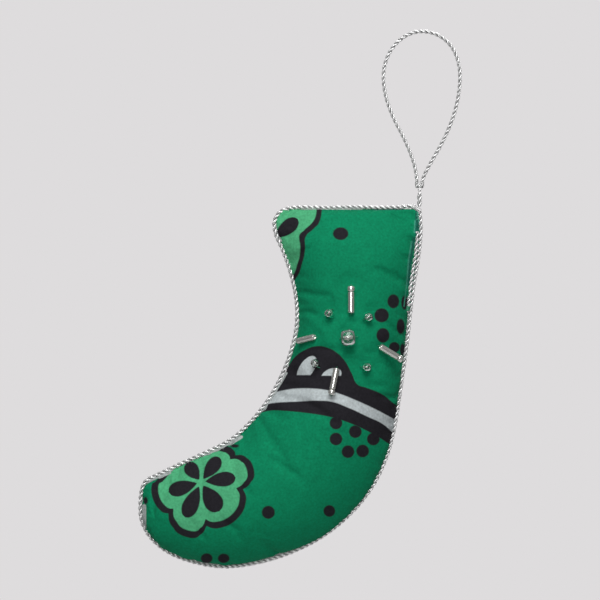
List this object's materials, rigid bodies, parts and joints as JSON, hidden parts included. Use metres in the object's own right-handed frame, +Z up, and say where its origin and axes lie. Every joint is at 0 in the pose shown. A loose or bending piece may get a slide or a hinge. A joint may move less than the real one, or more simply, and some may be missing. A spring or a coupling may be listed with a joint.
{
  "type": "hanging stocking",
  "caption": "Small stuffed fabric stocking with a corded seam, a star of glass beads on its front and a hanging loop of twisted cord.",
  "frame": {"origin": "inside of the hanging loop's top, where a hook bears", "axes": "+Z up towards the loop, +X towards the heel side, -Y towards the printed and beaded front; the seam lies in the plane y = 0"},
  "size_m": [0.0971, 0.0265, 0.1617],
  "materials": {
    "printed_cotton": "matt plain-weave cotton, green with a black, pale green and grey print",
    "back_cotton": "matt plain-weave cotton, the same print",
    "fibre_filling": "loose polyester fibre",
    "raw_cotton_edge": "raw cotton edge, paler than the face",
    "silver_cord": "metallic silver two-strand twist",
    "sewing_thread": "fine translucent thread",
    "silver_lined_glass": "clear glass with a silver-lined bore"
  },
  "bodies": {
    "loop": {"hanging_loop": "silver_cord", "neck_binding": "sewing_thread"},
    "neck_head": {"neck_head": "silver_cord"},
    "neck": {"neck_cord": "silver_cord"},
    "stocking": {"back_panel": "back_cotton", "bugle_thread_bottom": "sewing_thread", "bugle_thread_left": "sewing_thread", "bugle_thread_right": "sewing_thread", "bugle_thread_top": "sewing_thread", "centre_thread": "sewing_thread", "cord_tail": "silver_cord", "corner_stitch": "sewing_thread", "edge_cord": "silver_cord", "front_panel": "printed_cotton", "seam_allowance": "raw_cotton_edge", "seed_thread_lower_left": "sewing_thread", "seed_thread_lower_right": "sewing_thread", "seed_thread_upper_left": "sewing_thread", "seed_thread_upper_right": "sewing_thread", "stuffing": "fibre_filling", "tail_binding": "sewing_thread"},
    "bugle_bead_bottom": {"bugle_bead_bottom": "silver_lined_glass"},
    "bugle_bead_left": {"bugle_bead_left": "silver_lined_glass"},
    "bugle_bead_right": {"bugle_bead_right": "silver_lined_glass"},
    "bugle_bead_top": {"bugle_bead_top": "silver_lined_glass"},
    "centre_bead": {"centre_bead": "silver_lined_glass"},
    "seed_bead_lower_left": {"seed_bead_lower_left": "silver_lined_glass"},
    "seed_bead_lower_right": {"seed_bead_lower_right": "silver_lined_glass"},
    "seed_bead_upper_left": {"seed_bead_upper_left": "silver_lined_glass"},
    "seed_bead_upper_right": {"seed_bead_upper_right": "silver_lined_glass"},
    "tip_bead_bottom": {"tip_bead_bottom": "silver_lined_glass"},
    "tip_bead_right": {"tip_bead_right": "silver_lined_glass"},
    "tip_bead_top": {"tip_bead_top": "silver_lined_glass"}
  },
  "joints": [
    {"name": "cord_twist", "type": "hinge", "parent": "loop", "child": "neck_head", "pos_m": [-0.00075, 0, -0.04721], "axis": [0, 0, 1], "range_deg": [-180, 180]},
    {"name": "cord_lean", "type": "hinge", "parent": "neck_head", "child": "neck", "pos_m": [-0.00075, 0, -0.04721], "axis": [0, 1, 0], "range_deg": [-90, 60]},
    {"name": "cord_fold", "type": "hinge", "parent": "neck", "child": "stocking", "pos_m": [-0.00075, 0, -0.0513], "axis": [1, 0, 0], "range_deg": [-120, 120]},
    {"name": "bugle_bead_bottom_spin", "type": "hinge", "parent": "stocking", "child": "bugle_bead_bottom", "pos_m": [-0.0265, -0.0113, -0.1032], "axis": [-0.1997, -0.052, -0.9785], "continuous": true},
    {"name": "bugle_bead_left_spin", "type": "hinge", "parent": "stocking", "child": "bugle_bead_left", "pos_m": [-0.0348, -0.00569, -0.0917], "axis": [-0.8093, 0.5436, -0.2225], "continuous": true},
    {"name": "bugle_bead_right_spin", "type": "hinge", "parent": "stocking", "child": "bugle_bead_right", "pos_m": [-0.0104, -0.00818, -0.0954], "axis": [0.8319, 0.2253, -0.5071], "continuous": true},
    {"name": "bugle_bead_top_spin", "type": "hinge", "parent": "stocking", "child": "bugle_bead_top", "pos_m": [-0.0216, -0.01087, -0.0808], "axis": [0, 0.0348, 0.9994], "continuous": true},
    {"name": "centre_bead_spin", "type": "hinge", "parent": "stocking", "child": "centre_bead", "pos_m": [-0.0225, -0.0127, -0.0911], "axis": [0.9929, -0.0653, 0.0993], "continuous": true},
    {"name": "seed_bead_lower_left_spin", "type": "hinge", "parent": "stocking", "child": "seed_bead_lower_left", "pos_m": [-0.0322, -0.00912, -0.0988], "axis": [0.5336, -0.4573, -0.7114], "continuous": true},
    {"name": "seed_bead_lower_right_spin", "type": "hinge", "parent": "stocking", "child": "seed_bead_lower_right", "pos_m": [-0.017, -0.01066, -0.0998], "axis": [0.9487, 0.3163, 0], "continuous": true},
    {"name": "seed_bead_upper_left_spin", "type": "hinge", "parent": "stocking", "child": "seed_bead_upper_left", "pos_m": [-0.0281, -0.00971, -0.084], "axis": [0.4882, -0.2003, 0.8494], "continuous": true},
    {"name": "seed_bead_upper_right_spin", "type": "hinge", "parent": "stocking", "child": "seed_bead_upper_right", "pos_m": [-0.0165, -0.01073, -0.0851], "axis": [0.8459, 0.2193, 0.4862], "continuous": true},
    {"name": "tip_bead_bottom_spin", "type": "hinge", "parent": "stocking", "child": "tip_bead_bottom", "pos_m": [-0.0273, -0.01151, -0.10713], "axis": [-0.1997, -0.052, -0.9785], "continuous": true},
    {"name": "tip_bead_right_spin", "type": "hinge", "parent": "stocking", "child": "tip_bead_right", "pos_m": [-0.00706, -0.00728, -0.09744], "axis": [0.8319, 0.2253, -0.5071], "continuous": true},
    {"name": "tip_bead_top_spin", "type": "hinge", "parent": "stocking", "child": "tip_bead_top", "pos_m": [-0.0216, -0.01073, -0.07678], "axis": [0, 0.0348, 0.9994], "continuous": true}
  ]
}
